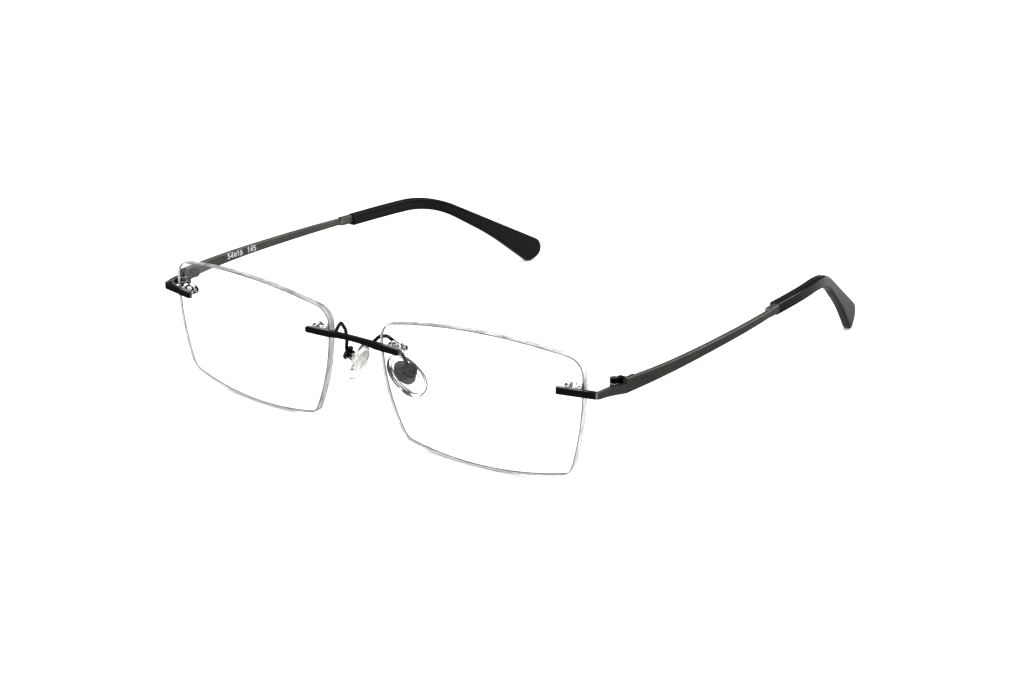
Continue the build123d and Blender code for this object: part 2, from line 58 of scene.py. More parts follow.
# The lens, in its own plane, in millimetres: X to the temporal side, Y up, Z out of the front.
LENS_CENTRE = Vector((34.8, -70.65, 16.01))
LENS_WRAP = radians(3.6)
LENS_TILT = radians(2.8)
LENS_CORNERS = [(-20.8, -14.25), (22.95, -12.9), (26.3, 13.9), (-27.0, 12.4)]
LENS_BULGES = [2.45, 1.45, 2.95, 2.0]
LENS_CORNER_RADII = [3.2, 3.4, 4.2, 4.6]
LENS_HOLES = [(-24.5, 7.2), (-21.8, 7.2), (22.3, 7.1), (25.0, 7.1)]
HOLE_SIDES = 28
BEVEL_STEPS = 4
GRID_REACH = 40            # half the side of the grid of points that fills a lens face
GRID_ROW_SHARE = 0.866     # height of a row of even triangles over their side

# The nose pad's own plane: X down the pad, Z towards the nose, origin on the cup's face.
CUP_CENTRE = Vector((9.5, -62.1, 15.5))
PAD_DOWN = Vector((0.53, 0.38, -0.76)).normalized()
PAD_INWARD_GUESS = Vector((-0.80, 0.30, -0.50))
PAD_DROP = 0.95
PAD_BACK = 1.8
PAD_EDGE = 0.5             # radius of the rounded edge round the pad's back
PAD_FACE_EDGE_SHARE = 0.55  # radius of the edge round its face, as a share of the thickness
PAD_FACE_DOME = 0.28       # how far the middle of the face stands out over that edge
PAD_TAPER = 0.07           # how much wider the lower end is than the middle, as a share

# Size marks on the temple: lens width, a small square, gap and temple length.
MARK_TEXT = "54x16  145"
MARK_START = -43.5
MARK_LOW = 23.85
MARK_STROKE = 0.085        # half the width of a stroke, as a share of the height
MARK_SINK = 0.1
MARK_RISE = 0.05
MARK_ADVANCE = 0.86        # step from one character to the next, as a share of the height
MARK_SPACE = 0.6

# The bow of the left temple's inner face, in millimetres: X falls away from its widest place.
BOW_WIDEST = 68.41
BOW_WIDEST_Y = -28.5
BOW_FALL = 2.35
BOW_FALL_RUN = 40.0

# |X| between which the endpiece's finish turns from paint to brushed metal, in metres.
ENDPIECE_TURN = (0.0648, 0.0654)

# The white card on the floor that only reflections see: its middle, and where it ends and is whole.
CARD_MIDDLE = (-0.02, 0.25, 0)
CARD_FADE = (0.24, 0.1)

CAMERA_PLACE = (0.26888, -0.36685, 0.15888)
CAMERA_DOWN = 18.787       # degrees below level
CAMERA_ROUND = 37.096      # degrees round from straight in front
CAMERA_LENS = 65.04
CAMERA_SENSOR = 36


# ---- settings --------------------------------------------------------------------------
def length_property(name, text, millimetres):
    """A length that a user may change, shown in the scene's units."""
    return bpy.props.FloatProperty(
        name=name, description=text, default=millimetres * MM, unit="LENGTH", subtype="DISTANCE",
        precision=5,
    )


def colour_property(name, text, colour):
    """A linear colour that a user may change."""
    return bpy.props.FloatVectorProperty(
        name=name, description=text, default=colour, size=3, min=0, max=1, subtype="COLOR"
    )


class EyeglassesSizes(bpy.types.PropertyGroup):
    """Sizes of the pieces that are built here."""

    lens_radius: length_property("Lens curve", "Radius of the lens's front surface", 200)
    lens_thickness: length_property("Lens thickness", "Thickness between the two surfaces", 1.9)
    lens_bevel: length_property("Lens bevel", "Width of the rounded safety bevel on both rims", 0.22)
    hole_radius: length_property("Hole radius", "Radius of the drilled holes", 0.75)
    pad_length: length_property("Pad length", "Length of a nose pad", 11.7)
    pad_width: length_property("Pad width", "Width of a nose pad", 7.2)
    pad_thickness: length_property("Pad thickness", "Thickness of a nose pad", 2.4)
    mark_height: length_property("Mark height", "Letter height of the size marks", 1.35)


class EyeglassesColours(bpy.types.PropertyGroup):
    """Base colours of the finishes."""

    paint: colour_property("Paint", "Satin paint of the bridge bar and endpieces", (0.002, 0.002, 0.002))
    gunmetal: colour_property("Gunmetal", "Plating of the hinges, wires and cups", (0.024, 0.023, 0.028))
    titanium: colour_property("Titanium", "Dark brushed temples", (0.5, 0.485, 0.455))
    steel: colour_property("Steel", "Screws and pad cores", (0.58, 0.56, 0.53))
    acetate: colour_property("Acetate", "Polished temple tips", (0.0012, 0.0012, 0.0012))
    silicone: colour_property("Silicone", "Clear nose pads", (0.96, 0.965, 0.955))
    nylon: colour_property("Nylon", "Hinge washers", (0.3, 0.3, 0.29))
    lens: colour_property("Lens", "Clear lens body", (0.995, 1.0, 0.998))
    mark: colour_property("Mark", "Size mark on the temple", (0.42, 0.44, 0.45))


class EyeglassesStage(bpy.types.PropertyGroup):
    """Light and floor."""

    floor_width: bpy.props.FloatProperty(
        name="Floor width", description="Side of the square floor", default=8, unit="LENGTH",
        subtype="DISTANCE",
    )
    surround: bpy.props.FloatProperty(
        name="Surround", description="Strength of the white surround", default=1.9, min=0
    )
    dim_surround: bpy.props.FloatProperty(
        name="Dim surround", description="Strength of the surround in reflections", default=0.12, min=0
    )
    table_glow: bpy.props.FloatProperty(
        name="Table", description="Brightness of the table in reflections", default=0.1, min=0
    )
    card_glow: bpy.props.FloatProperty(
        name="Card", description="Brightness of the white card behind, in reflections", default=0.7, min=0
    )
    key_power: bpy.props.FloatProperty(
        name="Key light", description="Power of the overhead softbox", default=2.0, min=0, unit="POWER"
    )
    rim_power: bpy.props.FloatProperty(
        name="Rim light", description="Power of the strip light behind", default=1.0, min=0, unit="POWER"
    )


# ---- meshes ----------------------------------------------------------------------------
def mesh_object(name, points, faces, body, materials, face_material=None, corner_normals=None):
    """A smooth-shaded mesh piece from points in millimetres, riding on a body."""
    mesh = bpy.data.meshes.new(name)
    mesh.from_pydata([Vector(p) * MM for p in points], [], faces)
    mesh.polygons.foreach_set("use_smooth", [True] * len(mesh.polygons))
    for material in materials:
        mesh.materials.append(material)
    if face_material:
        mesh.polygons.foreach_set("material_index", face_material)
    if corner_normals:
        mesh.normals_split_custom_set(corner_normals)
    piece = bpy.data.objects.new(name, mesh)
    bpy.context.scene.collection.objects.link(piece)
    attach(piece, body)
    return piece


def circle_through(start, end, rise):
    """Centre and radius of the arc from start to end that stands out by rise on its right."""
    run = end - start
    outward = Vector((run.y, -run.x)).normalized()
    radius = (run.length_squared / 4 + rise * rise) / (2 * rise)
    centre = (start + end) / 2 - outward * (radius - rise)
    return centre, radius


def corner_circle_centre(first, second, radius, corner):
    """Centre of the corner arc that lies inside both circles, nearest to their corner."""
    (c1, r1), (c2, r2) = first, second
    reach1 = r1 - radius
    reach2 = r2 - radius
    run = c2 - c1
    along = (reach1**2 - reach2**2 + run.length_squared) / (2 * run.length)
    aside = sqrt(reach1**2 - along**2)
    base = c1 + run.normalized() * along
    across = Vector((-run.y, run.x)).normalized() * aside
    return min((base + across, base - across), key=lambda p: (p - corner).length)


def lens_outline(spacing=0.55):
    """Points and outward directions round the lens, anticlockwise."""
    corners = [Vector(c) for c in LENS_CORNERS]
    count = len(corners)
    sides = [circle_through(corners[i], corners[(i + 1) % count], LENS_BULGES[i]) for i in range(count)]
    turns = []
    for i, radius in enumerate(LENS_CORNER_RADII):
        turns.append((corner_circle_centre(sides[i - 1], sides[i], radius, corners[i]), radius))
    outline = []
    for i in range(count):
        centre, radius = sides[i]
        from_turn = (turns[i][0] - centre).normalized()
        to_turn = (turns[(i + 1) % count][0] - centre).normalized()
        before = (turns[i][0] - sides[i - 1][0]).normalized()
        outline += arc_run(turns[i][0], turns[i][1], before, from_turn, spacing)
        outline += arc_run(centre, radius, from_turn, to_turn, spacing)
    return outline


def arc_run(centre, radius, start, end, spacing):
    """Points of an arc between two unit directions, the last one left out."""
    begin = atan2(start.y, start.x)
    sweep = (atan2(end.y, end.x) - begin) % tau
    steps = max(3, ceil(radius * sweep / spacing))
    directions = [
        Vector((cos(begin + sweep * k / steps), sin(begin + sweep * k / steps))) for k in range(steps)
    ]
    return [(centre + d * radius, d) for d in directions]


def lens_to_frame(side):
    """Matrix from the lens's own plane to the frame, in millimetres."""
    across = Vector((cos(LENS_WRAP), sin(LENS_WRAP), 0))
    front = Vector((sin(LENS_WRAP) * cos(LENS_TILT), -cos(LENS_WRAP) * cos(LENS_TILT), -sin(LENS_TILT)))
    up = front.cross(across)
    matrix = Matrix.Translation(LENS_CENTRE) @ Matrix((across, up, front)).transposed().to_4x4()
    return Matrix.Diagonal((side, 1, 1, 1)) @ matrix


def surface_height(point, radius, drop=0.0):
    """Height of a sphere of that radius over the lens plane, its centre drop below the front one's top."""
    reach = point[0] ** 2 + point[1] ** 2
    return sqrt(radius * radius - reach) - radius - drop


def lens_triangles(inner_rim, holes, spacing=2.0):
    """Points and triangles of the lens face inside its bevel, with the drilled holes left open."""
    hole_loops = []
    for x, y, radius in holes:
        turns = [tau * k / HOLE_SIDES for k in range(HOLE_SIDES)]
        hole_loops.append([Vector((x + radius * cos(a), y + radius * sin(a))) for a in turns])
    fixed = list(inner_rim)
    edges = loop_edges(0, len(fixed))
    for loop in hole_loops:
        edges += loop_edges(len(fixed), len(loop))
        fixed += loop
    inside = []
    rows = ceil(GRID_REACH / spacing)
    for row in range(-rows, rows + 1):
        for column in range(-rows, rows + 1):
            point = Vector(((column + 0.5 * (row % 2)) * spacing, row * spacing * GRID_ROW_SHARE))
            if is_inside(point, inner_rim, spacing * 0.55) and clear_of(point, holes, spacing * 0.5):
                inside.append(point)
    points, _, faces, *_ = delaunay_2d_cdt(fixed + inside, edges, [], 0, 1e-6)
    kept = []
    for face in faces:
        centre = sum((points[i] for i in face), Vector((0, 0))) / 3
        if clear_of(centre, holes, 0):
            kept.append(tuple(face))
    return points, kept, hole_loops


def loop_edges(start, count):
    """Edges of a closed loop of consecutive points."""
    return [(start + k, start + (k + 1) % count) for k in range(count)]


def is_inside(point, rim, margin):
    """Whether a point lies inside a convex anticlockwise rim by at least margin."""
    for k, corner in enumerate(rim):
        along = rim[(k + 1) % len(rim)] - corner
        offset = point - corner
        if along.x * offset.y - along.y * offset.x < margin * along.length:
            return False
    return True


def clear_of(point, holes, margin):
    """Whether a point is outside every hole by at least margin."""
    return all(hypot(point[0] - x, point[1] - y) > radius + margin for x, y, radius in holes)


def lens_mesh(sizes):
    """Points, faces, face kinds and corner normals of the left lens, in its own plane.

    Kind 0 is polished, 1 is the ground edge and 2 its bevels.
    """
    radius = sizes.lens_radius / MM
    thickness = sizes.lens_thickness / MM
    bevel = sizes.lens_bevel / MM
    holes = [(x, y, sizes.hole_radius / MM) for x, y in LENS_HOLES]
    outline = lens_outline()
    count = len(outline)
    inner_rim = [p - d * bevel for p, d in outline]
    flat, triangles, hole_loops = lens_triangles(inner_rim, holes)

    def height(point, front):
        if front:
            return surface_height(point, radius)
        return surface_height(point, radius - thickness, thickness)

    def face_normal(point, front):
        drop = radius + height(point, front)
        away = Vector((point[0], point[1], drop)).normalized()
        return away if front else -away

    points = []
    normals = []
    for front in (True, False):
        for p in flat:
            points.append((p[0], p[1], height(p, front)))
            normals.append(face_normal(p, front))
    faces = list(triangles)
    back_start = len(flat)
    faces += [tuple(reversed([back_start + i for i in face])) for face in triangles]
    kinds = [0] * len(faces)
    corner_normals = [normals[i] for face in faces for i in face]

    def add_strip(first, second, first_normals, second_normals, kind):
        size = len(first)
        for k in range(size):
            n = (k + 1) % size
            faces.append((first[k], first[n], second[n], second[k]))
            kinds.append(kind)
            corner_normals.extend(
                [first_normals[k], first_normals[n], second_normals[n], second_normals[k]]
            )

    rows = [[*range(count)]]
    row_normals = [[normals[k] for k in range(count)]]
    for front in (True, False):
        turns = [pi / 2 * k / BEVEL_STEPS for k in range(1, BEVEL_STEPS + 1)]
        if not front:
            turns.reverse()
        for turn in turns:
            row = []
            lean = []
            for p, d in outline:
                place = p - d * bevel * (1 - sin(turn))
                fall = bevel * (1 - cos(turn))
                z = height(place, front) - fall if front else height(place, front) + fall
                row.append(len(points))
                points.append((place.x, place.y, z))
                outward = Vector((d.x, d.y, 0))
                lean.append((outward * sin(turn) + face_normal(place, front) * cos(turn)).normalized())
            rows.append(row)
            row_normals.append(lean)
    rows.append([back_start + k for k in range(count)])
    row_normals.append([normals[back_start + k] for k in range(count)])
    for k in range(len(rows) - 1):
        kind = 1 if k == BEVEL_STEPS else 2
        add_strip(rows[k + 1], rows[k], row_normals[k + 1], row_normals[k], kind)

    start = count
    for loop, (x, y, _) in zip(hole_loops, holes):
        front_row = [*range(start, start + len(loop))]
        back_row = [back_start + k for k in front_row]
        inward = [Vector((x - p.x, y - p.y, 0)).normalized() for p in loop]
        add_strip(front_row, back_row, inward, inward, 0)
        start += len(loop)
    return points, faces, kinds, corner_normals


class EYEGLASSES_OT_build_lenses(bpy.types.Operator):
    """Build both clear lenses with ground edges and drilled holes"""

    bl_idname = "eyeglasses.build_lenses"
    bl_label = "Build Lenses"

    def execute(self, context):
        sizes = context.scene.eyeglasses_sizes
        points, faces, kinds, corner_normals = lens_mesh(sizes)
        materials = [clear_lens_material(), ground_edge_material(), bevel_material()]
        for word, side in SIDES:
            matrix = lens_to_frame(side)
            placed = [matrix @ Vector(p) for p in points]
            turn = matrix.to_3x3()
            normals = [turn @ n for n in corner_normals]
            shown = faces
            if side < 0:
                shown = [tuple(reversed(face)) for face in faces]
                normals = reversed_corners(faces, normals)
            piece = mesh_object(
                f"clear_lens_{word}", placed, shown, "front", materials, kinds, normals
            )
            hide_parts(f"lens_{word}")
        return {"FINISHED"}


def reversed_corners(faces, normals):
    """Corner normals in the order of faces that have been turned round."""
    turned = []
    start = 0
    for face in faces:
        turned += reversed(normals[start:start + len(face)])
        start += len(face)
    return turned


# ---- nose pads -------------------------------------------------------------------------
def pad_to_frame(side):
    """Matrix from the pad's own plane to the frame, in millimetres."""
    inward = (PAD_INWARD_GUESS - PAD_DOWN * PAD_INWARD_GUESS.dot(PAD_DOWN)).normalized()
    across = inward.cross(PAD_DOWN)
    matrix = Matrix.Translation(CUP_CENTRE) @ Matrix((PAD_DOWN, across, inward)).transposed().to_4x4()
    return Matrix.Diagonal((side, 1, 1, 1)) @ matrix


def pad_rings(sizes):
    """Rings of the pad from the middle of its back to the middle of its face: inset or share, height."""
    thick = sizes.pad_thickness / MM
    rings = [("share", 0.12, 0.0), ("share", 0.34, 0.0), ("share", 0.42, 0.04), ("share", 0.5, 0.22)]
    rings += [("share", 0.7, 0.3), ("share", 0.86, 0.26), ("inset", 0.95, 0.12)]
    for k in range(5):
        turn = pi / 2 * k / 4
        rings.append(("inset", PAD_EDGE * (1 - sin(turn)) + 0.06, PAD_EDGE * (1 - cos(turn))))
    face_edge = thick * PAD_FACE_EDGE_SHARE
    for k in range(7):
        turn = pi / 2 * k / 6
        inset = face_edge * (1 - cos(turn))
        rings.append(("inset", inset, thick - PAD_FACE_DOME - face_edge * (1 - sin(turn))))
    rings += [("share", 0.72, thick - 0.14), ("share", 0.5, thick - 0.05), ("share", 0.25, thick - 0.01)]
    return rings


def pad_mesh(sizes, around=64):
    """Points and faces of the left nose pad in its own plane."""
    half_length = sizes.pad_length / MM / 2
    half_width = sizes.pad_width / MM / 2
    points = []
    for kind, value, height in pad_rings(sizes):
        if kind == "share":
            reach = (half_length * value, half_width * value)
        else:
            reach = (half_length - value, half_width - value)
        for k in range(around):
            turn = tau * k / around
            x = superellipse(cos(turn), reach[0])
            y = superellipse(sin(turn), reach[1]) * (1 + PAD_TAPER * x / half_length)
            points.append((PAD_DROP + x, y, PAD_BACK + height))
    rings = len(points) // around
    faces = []
    for ring in range(rings - 1):
        for k in range(around):
            n = (k + 1) % around
            low = ring * around
            high = low + around
            faces.append((low + k, low + n, high + n, high + k))
    back_middle = len(points)
    points.append((PAD_DROP, 0, PAD_BACK))
    face_middle = len(points)
    points.append((PAD_DROP, 0, PAD_BACK + sizes.pad_thickness / MM))
    last = (rings - 1) * around
    for k in range(around):
        n = (k + 1) % around
        faces.append((back_middle, n, k))
        faces.append((face_middle, last + k, last + n))
    return points, faces


def superellipse(share, reach, power=2.25):
    """One coordinate of a slightly squared ellipse."""
    size = abs(share) ** (2 / power) * reach
    return size if share >= 0 else -size


class EYEGLASSES_OT_build_nose_pads(bpy.types.Operator):
    """Build the clear silicone nose pads round their metal cores"""

    bl_idname = "eyeglasses.build_nose_pads"
    bl_label = "Build Nose Pads"

    def execute(self, context):
        points, faces = pad_mesh(context.scene.eyeglasses_sizes)
        material = silicone_material()
        for word, side in SIDES:
            matrix = pad_to_frame(side)
            placed = [matrix @ Vector(p) for p in points]
            shown = faces if side > 0 else [tuple(reversed(face)) for face in faces]
            piece = mesh_object(
                f"silicone_pad_{word}", placed, shown, f"nose_pad_body_{word}", [material]
            )
            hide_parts(f"nose_pad_{word}")
        return {"FINISHED"}


# ---- size marks ------------------------------------------------------------------------
def arc_points(centre, radius, start, end, steps):
    """Points of an arc between two angles in degrees."""
    angles = [radians(start + (end - start) * k / steps) for k in range(steps + 1)]
    return [(centre[0] + radius * cos(a), centre[1] + radius * sin(a)) for a in angles]


# Stroke lines of each character, one unit high, and whether a line closes on itself.
GLYPHS = {
    "1": [([(0.14, 0.76), (0.36, 1.0), (0.36, 0.0)], False)],
    "4": [([(0.46, 0.0), (0.46, 1.0), (0.04, 0.3), (0.62, 0.3)], False)],
    "5": [([(0.56, 1.0), (0.12, 1.0), *arc_points((0.28, 0.33), 0.3, 125, -140, 12)], False)],
    "6": [
        (arc_points((0.32, 0.31), 0.29, 0, 337.5, 15), True),
        ([(0.52, 1.0), *arc_points((0.62, 0.31), 0.59, 140, 180, 4)], False),
    ],
    "x": [([(0.08, 0.15), (0.62, 0.15), (0.62, 0.69), (0.08, 0.69)], True)],   # a small square
}


def raised_line(line, closed, half_width, low, high):
    """Points and faces of a strip of even width that stands from low to high along a line."""
    points = []
    count = len(line)
    for k, here in enumerate(line):
        after = line[(k + 1) % count] if closed or k < count - 1 else None
        before = line[k - 1] if closed or k > 0 else None
        sides = []
        for start, end in ((before, here), (here, after)):
            if start is not None and end is not None:
                run = (Vector(end) - Vector(start)).normalized()
                sides.append(Vector((-run.y, run.x)))
        aside = sum(sides, Vector((0, 0))).normalized()
        reach = half_width / max(0.45, aside.dot(sides[0]))
        left = Vector(here) + aside * reach
        right = Vector(here) - aside * reach
        points += [(*left, low), (*right, low), (*right, high), (*left, high)]
    faces = []
    for k in range(count if closed else count - 1):
        first = 4 * k
        second = 4 * ((k + 1) % count)
        for a in range(4):
            b = (a + 1) % 4
            faces.append((first + b, first + a, second + a, second + b))
    if not closed:
        faces += [(0, 1, 2, 3), tuple(4 * (count - 1) + a for a in (3, 2, 1, 0))]
    return points, faces


def temple_inner_x(y):
    """X of the left temple's inner face at a place along it, in millimetres."""
    return BOW_WIDEST - ((y - BOW_WIDEST_Y) / BOW_FALL_RUN) ** 2 * BOW_FALL


class EYEGLASSES_OT_build_size_marks(bpy.types.Operator):
    """Build the size marks on the inner face of the right temple"""

    bl_idname = "eyeglasses.build_size_marks"
    bl_label = "Build Size Marks"

    def execute(self, context):
        height = context.scene.eyeglasses_sizes.mark_height / MM
        along = MARK_START
        points = []
        faces = []
        for character in MARK_TEXT:
            for line, closed in GLYPHS.get(character, []):
                made, made_faces = raised_line(line, closed, MARK_STROKE, -MARK_SINK, MARK_RISE)
                offset = len(points)
                for u, v, rise in made:
                    y = along + u * height
                    points.append((rise - temple_inner_x(y), y, MARK_LOW + v * height))
                faces += [tuple(offset + i for i in face) for face in made_faces]
            along += height * (MARK_SPACE if character == " " else MARK_ADVANCE)
        mesh_object(
            "size_marks", points, faces, "temple_arm_right", [size_mark_material()]
        )
        return {"FINISHED"}


# ---- materials -------------------------------------------------------------------------
def new_group(name, inputs, outputs):
    """An empty shader node group with named sockets, and its input and output nodes."""
    group = bpy.data.node_groups.new(name, "ShaderNodeTree")
    for socket, kind, default in inputs:
        made = group.interface.new_socket(name=socket, in_out="INPUT", socket_type=kind)
        made.default_value = default
    for socket, kind in outputs:
        group.interface.new_socket(name=socket, in_out="OUTPUT", socket_type=kind)
    entry = group.nodes.new("NodeGroupInput")
    leave = group.nodes.new("NodeGroupOutput")
    return group, entry, leave


def add(tree, kind, **values):
    """A node with its properties set."""
    node = tree.nodes.new(kind)
    for name, value in values.items():
        setattr(node, name, value)
    return node


def grain_group():
    """Stretched noise: brush lines, paint texture or grinding marks, as a value and a height."""
    group = bpy.data.node_groups.get("Grain")
    if group:
        return group
    inputs = [
        ("Stretch", "NodeSocketVector", (1000.0, 1000.0, 1000.0)),
        ("Detail", "NodeSocketFloat", 3.0),
        ("Low", "NodeSocketFloat", 0.0),
        ("High", "NodeSocketFloat", 1.0),
    ]
    outputs = [("Value", "NodeSocketFloat"), ("Height", "NodeSocketFloat")]
    group, entry, leave = new_group("Grain", inputs, outputs)
    place = add(group, "ShaderNodeTexCoord")
    scale = add(group, "ShaderNodeVectorMath", operation="MULTIPLY")
    noise = add(group, "ShaderNodeTexNoise", noise_dimensions="3D")
    noise.inputs["Scale"].default_value = 1.0
    noise.inputs["Roughness"].default_value = 0.6
    fit = add(group, "ShaderNodeMapRange")
    fit.inputs["From Min"].default_value = 0.3
    fit.inputs["From Max"].default_value = 0.7
    links = group.links
    links.new(place.outputs["Object"], scale.inputs[0])
    links.new(entry.outputs["Stretch"], scale.inputs[1])
    links.new(scale.outputs["Vector"], noise.inputs["Vector"])
    links.new(entry.outputs["Detail"], noise.inputs["Detail"])
    links.new(noise.outputs["Fac"], fit.inputs["Value"])
    links.new(entry.outputs["Low"], fit.inputs["To Min"])
    links.new(entry.outputs["High"], fit.inputs["To Max"])
    links.new(fit.outputs["Result"], leave.inputs["Value"])
    links.new(noise.outputs["Fac"], leave.inputs["Height"])
    return group


def edge_wear_group():
    """Where a finish has thinned along its edges: a mask from the rounded edge, broken up by noise."""
    group = bpy.data.node_groups.get("Edge wear")
    if group:
        return group
    inputs = [
        ("Radius", "NodeSocketFloat", 0.0002),
        ("Patch size", "NodeSocketFloat", 900.0),
        ("Amount", "NodeSocketFloat", 0.5),
    ]
    group, entry, leave = new_group("Edge wear", inputs, [("Mask", "NodeSocketFloat")])
    bevel = add(group, "ShaderNodeBevel", samples=4)
    geometry = add(group, "ShaderNodeNewGeometry")
    dot = add(group, "ShaderNodeVectorMath", operation="DOT_PRODUCT")
    edge = add(group, "ShaderNodeMapRange")
    edge.inputs["From Min"].default_value = 0.995
    edge.inputs["From Max"].default_value = 0.85
    place = add(group, "ShaderNodeTexCoord")
    noise = add(group, "ShaderNodeTexNoise")
    noise.inputs["Detail"].default_value = 4.0
    patch = add(group, "ShaderNodeMapRange")
    patch.inputs["From Min"].default_value = 0.42
    patch.inputs["From Max"].default_value = 0.62
    both = add(group, "ShaderNodeMath", operation="MULTIPLY")
    amount = add(group, "ShaderNodeMath", operation="MULTIPLY")
    links = group.links
    links.new(entry.outputs["Radius"], bevel.inputs["Radius"])
    links.new(bevel.outputs["Normal"], dot.inputs[0])
    links.new(geometry.outputs["Normal"], dot.inputs[1])
    links.new(dot.outputs["Value"], edge.inputs["Value"])
    links.new(place.outputs["Object"], noise.inputs["Vector"])
    links.new(entry.outputs["Patch size"], noise.inputs["Scale"])
    links.new(noise.outputs["Fac"], patch.inputs["Value"])
    links.new(edge.outputs["Result"], both.inputs[0])
    links.new(patch.outputs["Result"], both.inputs[1])
    links.new(both.outputs["Value"], amount.inputs[0])
    links.new(entry.outputs["Amount"], amount.inputs[1])
    links.new(amount.outputs["Value"], leave.inputs["Mask"])
    return group


def handling_group():
    """Faint smears and specks from handling, as a roughness and a speck mask."""
    group = bpy.data.node_groups.get("Handling marks")
    if group:
        return group
    inputs = [
        ("Smear size", "NodeSocketFloat", 90.0),
        ("Clean roughness", "NodeSocketFloat", 0.1),
        ("Smeared roughness", "NodeSocketFloat", 0.2),
        ("Speck size", "NodeSocketFloat", 1500.0),
        ("Speck share", "NodeSocketFloat", 0.08),
    ]
    outputs = [("Roughness", "NodeSocketFloat"), ("Specks", "NodeSocketFloat")]
    group, entry, leave = new_group("Handling marks", inputs, outputs)
    place = add(group, "ShaderNodeTexCoord")
    smear = add(group, "ShaderNodeTexNoise")
    smear.inputs["Detail"].default_value = 5.0
    smear.inputs["Distortion"].default_value = 0.8
    fit = add(group, "ShaderNodeMapRange", interpolation_type="SMOOTHSTEP")
    fit.inputs["From Min"].default_value = 0.45
    fit.inputs["From Max"].default_value = 0.68
    cells = add(group, "ShaderNodeTexVoronoi", feature="F1")
    speck = add(group, "ShaderNodeMath", operation="LESS_THAN")
    links = group.links
    links.new(place.outputs["Object"], smear.inputs["Vector"])
    links.new(entry.outputs["Smear size"], smear.inputs["Scale"])
    links.new(smear.outputs["Fac"], fit.inputs["Value"])
    links.new(entry.outputs["Clean roughness"], fit.inputs["To Min"])
    links.new(entry.outputs["Smeared roughness"], fit.inputs["To Max"])
    links.new(place.outputs["Object"], cells.inputs["Vector"])
    links.new(entry.outputs["Speck size"], cells.inputs["Scale"])
    links.new(cells.outputs["Distance"], speck.inputs[0])
    links.new(entry.outputs["Speck share"], speck.inputs[1])
    links.new(fit.outputs["Result"], leave.inputs["Roughness"])
    links.new(speck.outputs["Value"], leave.inputs["Specks"])
    return group


def place_group(tree, group, **values):
    """A group node with its own values; an underscore in a keyword stands for a space."""
    node = add(tree, "ShaderNodeGroup", node_tree=group)
    for name, value in values.items():
        node.inputs[name.replace("_", " ")].default_value = value
    return node


def start_material(name, **shader_values):
    """A new material: its tree and its Principled shader with plain values set."""
    material = bpy.data.materials.new(name)
    material.use_nodes = True
    tree = material.node_tree
    shader = tree.nodes["Principled BSDF"]
    for socket, value in shader_values.items():
        shader.inputs[socket.replace("_", " ")].default_value = value
    return material, tree, shader


def blend_colours(tree, mask, first, second, shader):
    """Base Color from two colours by a mask socket."""
    mix = add(tree, "ShaderNodeMix", data_type="RGBA")
    mix.inputs["A"].default_value = (*first, 1)
    mix.inputs["B"].default_value = (*second, 1)
    tree.links.new(mask, mix.inputs["Factor"])
    tree.links.new(mix.outputs["Result"], shader.inputs["Base Color"])
    return mix


def link_bump(tree, height, shader, strength, distance):
    """Fine relief from a height socket."""
    bump = add(tree, "ShaderNodeBump")
    bump.inputs["Strength"].default_value = strength
    bump.inputs["Distance"].default_value = distance
    tree.links.new(height, bump.inputs["Height"])
    tree.links.new(bump.outputs["Normal"], shader.inputs["Normal"])


def lighter(colour, share):
    """A colour moved towards white."""
    return tuple(c + (1 - c) * share for c in colour)


def colours():
    """The scene's finish colours."""
    return bpy.context.scene.eyeglasses_colours


def clear_lens_material():
    """Polished clear lens with the faintest smears.

    Its IOR is below a real lens's 1.5, so that its own glare over the parts behind it stays faint.
    """
    material, tree, shader = start_material(
        "Clear lens", Metallic=0.0, IOR=1.34, Transmission_Weight=1.0
    )
    marks = place_group(
        tree, handling_group(), Smear_size=70.0, Clean_roughness=0.0, Smeared_roughness=0.012
    )
    blend_colours(tree, marks.outputs["Specks"], colours().lens, (0.97, 0.98, 0.98), shader)
    tree.links.new(marks.outputs["Roughness"], shader.inputs["Roughness"])
    return material


def ground_edge_material():
    """The lens's ground edge: clear body under a pale frost, with streaks left by the grinding. Its colour
    runs in random patches from dark grey painted shade to the pale frost brightened as painted highlight.
    """
    material, tree, shader = start_material(
        "Ground lens edge", Metallic=0.0, IOR=1.25, Transmission_Weight=0.45
    )
    marks = place_group(
        tree, grain_group(), Stretch=(3500.0, 9000.0, 3500.0), Detail=4.0, Low=0.3, High=0.55
    )
    light_and_shade_patches = place_group(tree, grain_group(), Stretch=(330.0, 900.0, 330.0), Low=0.0, High=1.0)
    # painted light and shade: random patches take the edge's colour from dark grey painted shade to pale
    # frost with painted highlight
    blend_colours(tree, light_and_shade_patches.outputs["Value"], (0.17, 0.175, 0.17), (0.78, 0.79, 0.78), shader)
    tree.links.new(marks.outputs["Value"], shader.inputs["Roughness"])
    link_bump(tree, marks.outputs["Height"], shader, 0.25, 0.00002)
    return material


def bevel_material():
    """The fine bevels along both rims of a lens, coloured dark as painted shade, in random patches."""
    material, tree, shader = start_material(
        "Lens bevel", Metallic=0.0, IOR=1.4, Transmission_Weight=0.2
    )
    light_and_shade_patches = place_group(tree, grain_group(), Stretch=(260.0, 260.0, 260.0), Low=0.0, High=1.0)
    marks = place_group(
        tree, grain_group(), Stretch=(6000.0, 6000.0, 6000.0), Detail=2.0, Low=0.25, High=0.45
    )
    # painted shade: clear glass bevels coloured near black to dark grey in random patches
    blend_colours(tree, light_and_shade_patches.outputs["Value"], (0.03, 0.03, 0.03), (0.22, 0.22, 0.22), shader)
    tree.links.new(marks.outputs["Value"], shader.inputs["Roughness"])
    return material


